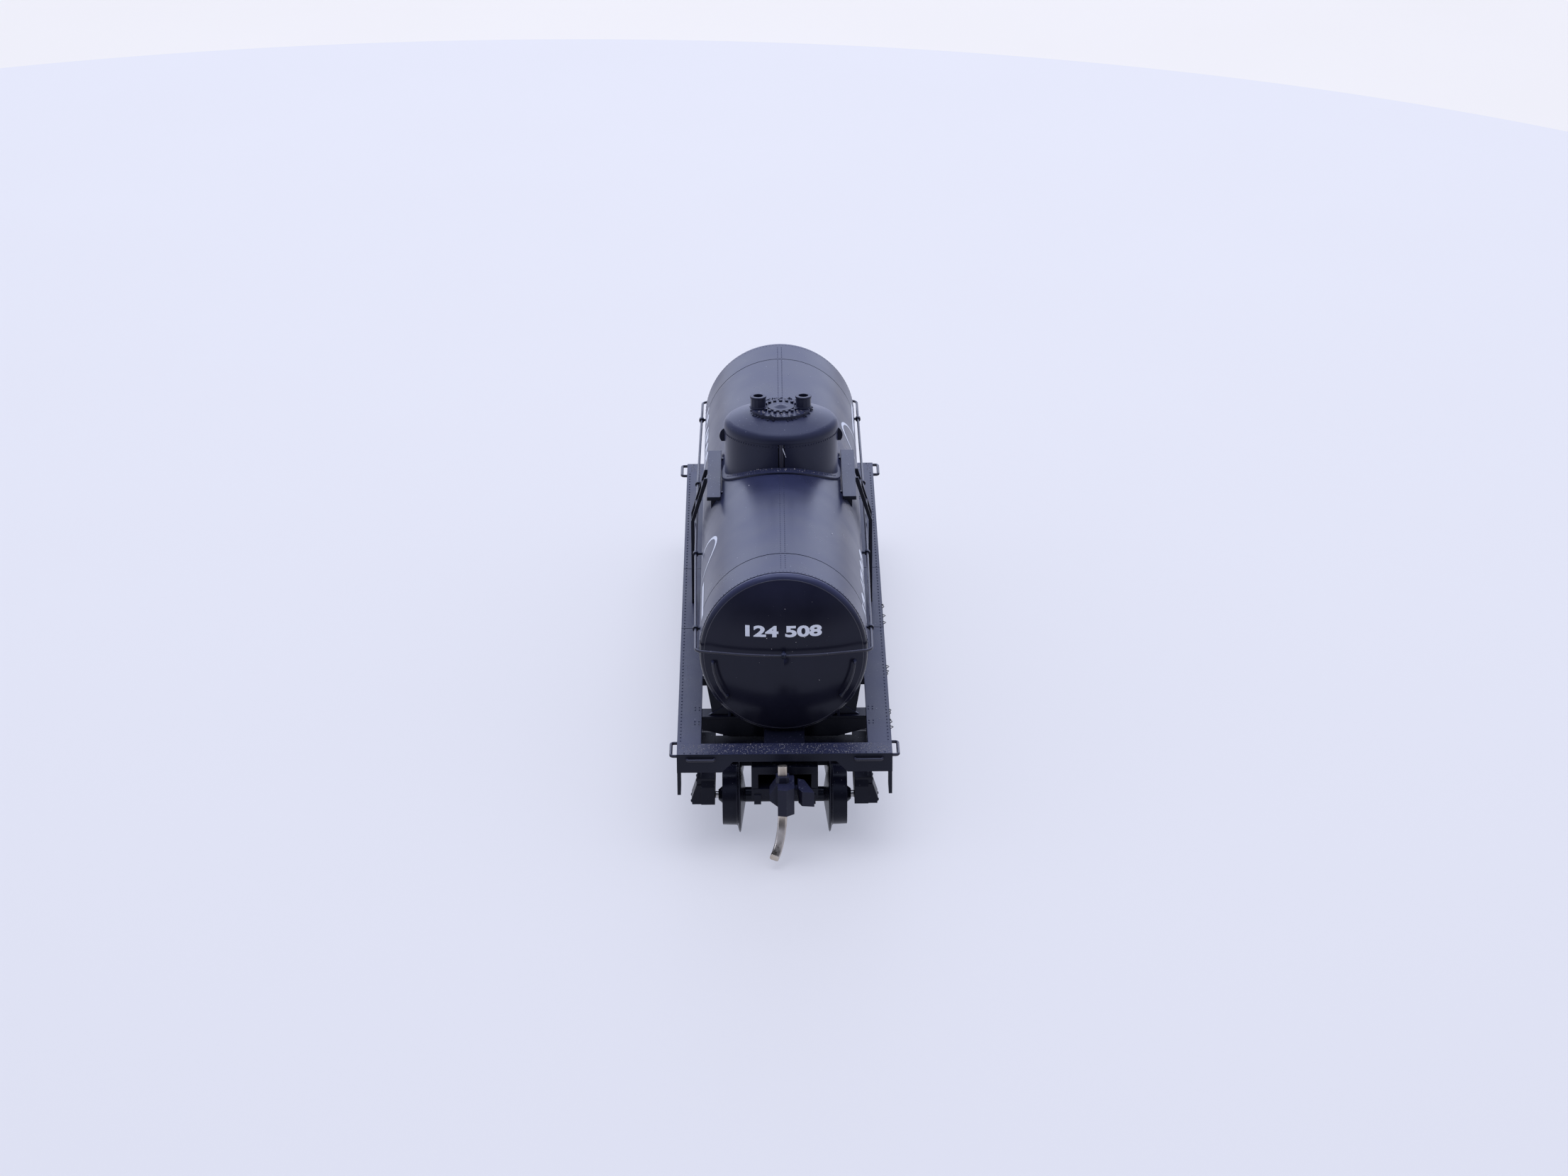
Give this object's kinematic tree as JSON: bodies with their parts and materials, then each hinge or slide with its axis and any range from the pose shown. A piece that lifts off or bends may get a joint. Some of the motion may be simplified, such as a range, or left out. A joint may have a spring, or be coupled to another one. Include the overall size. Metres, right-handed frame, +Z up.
{
  "type": "model railway tank wagon",
  "caption": "Small-scale model of a single-dome railway tank wagon with swivelling trucks, turning wheelsets and spring-closed magnetic couplers.",
  "frame": {"origin": "under the middle of the wagon, at the bottom of the wheel flanges", "axes": "+X along the track to the front coupler, +Y to the wagon's left side, +Z up"},
  "size_m": [0.0846, 0.0198, 0.0284],
  "materials": {
    "tank_plastic": "black moulded plastic with a satin sheen and fine dust",
    "frame_plastic": "black moulded plastic, semi-matt, dust in the corners",
    "detail_plastic": "black moulded plastic, satin",
    "truck_plastic": "black slippery moulded plastic, semi-matt",
    "coupler_plastic": "black glass-filled plastic, satin",
    "wheel_plastic": "dark brown-black moulded plastic, treads slightly polished",
    "rail_wire": "thin wire painted satin black",
    "pin_metal": "blackened warm nickel-brass wire, worn bright at the edges",
    "axle_steel": "turned steel, bright needle ends",
    "spring_bronze": "fine phosphor bronze wire",
    "ballast_steel": "plain sawn steel bar"
  },
  "bodies": {
    "wagon": {"tank_shell": "tank_plastic", "front_tank_head": "tank_plastic", "rear_tank_head": "tank_plastic", "ballast_weight": "ballast_steel", "dome_shell": "tank_plastic", "dome_lid": "tank_plastic", "manhole_cover": "tank_plastic", "manhole_bolts": "tank_plastic", "safety_valves": "tank_plastic", "lifting_lugs": "tank_plastic", "handrail_wire": "rail_wire", "handrail_stanchions": "detail_plastic", "head_handholds": "rail_wire", "left_platform": "detail_plastic", "right_platform": "detail_plastic", "left_ladder": "detail_plastic", "right_ladder": "detail_plastic", "centre_sill": "frame_plastic", "left_side_sill": "frame_plastic", "right_side_sill": "frame_plastic", "front_end_sill": "frame_plastic", "rear_end_sill": "frame_plastic", "front_bolster": "frame_plastic", "rear_bolster": "frame_plastic", "tank_saddles": "frame_plastic", "cross_bearers": "frame_plastic", "kingpins": "frame_plastic", "brake_cylinder": "detail_plastic", "air_reservoir": "detail_plastic", "brake_rods": "detail_plastic", "hand_brake": "detail_plastic", "corner_grabs": "rail_wire", "end_grabs": "rail_wire", "stirrup_steps": "detail_plastic"},
    "front_truck": {"front_truck_bolster": "truck_plastic", "front_left_side_frame": "truck_plastic", "front_right_side_frame": "truck_plastic", "front_coupler_box": "truck_plastic", "front_box_cover": "truck_plastic", "front_coupler_spring": "spring_bronze"},
    "front_outer_wheelset": {"front_outer_wheels": "wheel_plastic", "front_outer_axle": "axle_steel"},
    "front_inner_wheelset": {"front_inner_wheels": "wheel_plastic", "front_inner_axle": "axle_steel"},
    "front_coupler": {"front_coupler_guard": "coupler_plastic"},
    "front_knuckle": {"front_coupler_knuckle": "coupler_plastic", "front_trip_pin": "pin_metal"},
    "rear_truck": {"rear_truck_bolster": "truck_plastic", "rear_left_side_frame": "truck_plastic", "rear_right_side_frame": "truck_plastic", "rear_coupler_box": "truck_plastic", "rear_box_cover": "truck_plastic", "rear_coupler_spring": "spring_bronze"},
    "rear_outer_wheelset": {"rear_outer_wheels": "wheel_plastic", "rear_outer_axle": "axle_steel"},
    "rear_inner_wheelset": {"rear_inner_wheels": "wheel_plastic", "rear_inner_axle": "axle_steel"},
    "rear_coupler": {"rear_coupler_guard": "coupler_plastic"},
    "rear_knuckle": {"rear_coupler_knuckle": "coupler_plastic", "rear_trip_pin": "pin_metal"}
  },
  "joints": [
    {"name": "front_truck_swivel", "type": "hinge", "parent": "wagon", "child": "front_truck", "pos_m": [0.0285, 0, 0.0064], "axis": [0, 0, 1], "range_deg": [-15, 15]},
    {"name": "front_outer_wheels_turn", "type": "hinge", "parent": "front_truck", "child": "front_outer_wheelset", "pos_m": [0.03374, 0, 0.0033], "axis": [0, 1, 0], "continuous": true},
    {"name": "front_inner_wheels_turn", "type": "hinge", "parent": "front_truck", "child": "front_inner_wheelset", "pos_m": [0.02326, 0, 0.0033], "axis": [0, 1, 0], "continuous": true},
    {"name": "front_coupler_swing", "type": "hinge", "parent": "front_truck", "child": "front_coupler", "pos_m": [0.0342, 0, 0.0058], "axis": [0, 0, 1], "range_deg": [-10, 10], "stiffness_Nm_per_rad": 0.00001},
    {"name": "front_knuckle_open", "type": "hinge", "parent": "front_coupler", "child": "front_knuckle", "pos_m": [0.0342, 0, 0.0058], "axis": [0, 0, -1], "range_deg": [0, 8], "stiffness_Nm_per_rad": 0.00002},
    {"name": "rear_truck_swivel", "type": "hinge", "parent": "wagon", "child": "rear_truck", "pos_m": [-0.0285, 0, 0.0064], "axis": [0, 0, 1], "range_deg": [-15, 15]},
    {"name": "rear_outer_wheels_turn", "type": "hinge", "parent": "rear_truck", "child": "rear_outer_wheelset", "pos_m": [-0.03374, 0, 0.0033], "axis": [0, 1, 0], "continuous": true},
    {"name": "rear_inner_wheels_turn", "type": "hinge", "parent": "rear_truck", "child": "rear_inner_wheelset", "pos_m": [-0.02326, 0, 0.0033], "axis": [0, 1, 0], "continuous": true},
    {"name": "rear_coupler_swing", "type": "hinge", "parent": "rear_truck", "child": "rear_coupler", "pos_m": [-0.0342, 0, 0.0058], "axis": [0, 0, 1], "range_deg": [-10, 10], "stiffness_Nm_per_rad": 0.00001},
    {"name": "rear_knuckle_open", "type": "hinge", "parent": "rear_coupler", "child": "rear_knuckle", "pos_m": [-0.0342, 0, 0.0058], "axis": [0, 0, -1], "range_deg": [0, 8], "stiffness_Nm_per_rad": 0.00002}
  ]
}
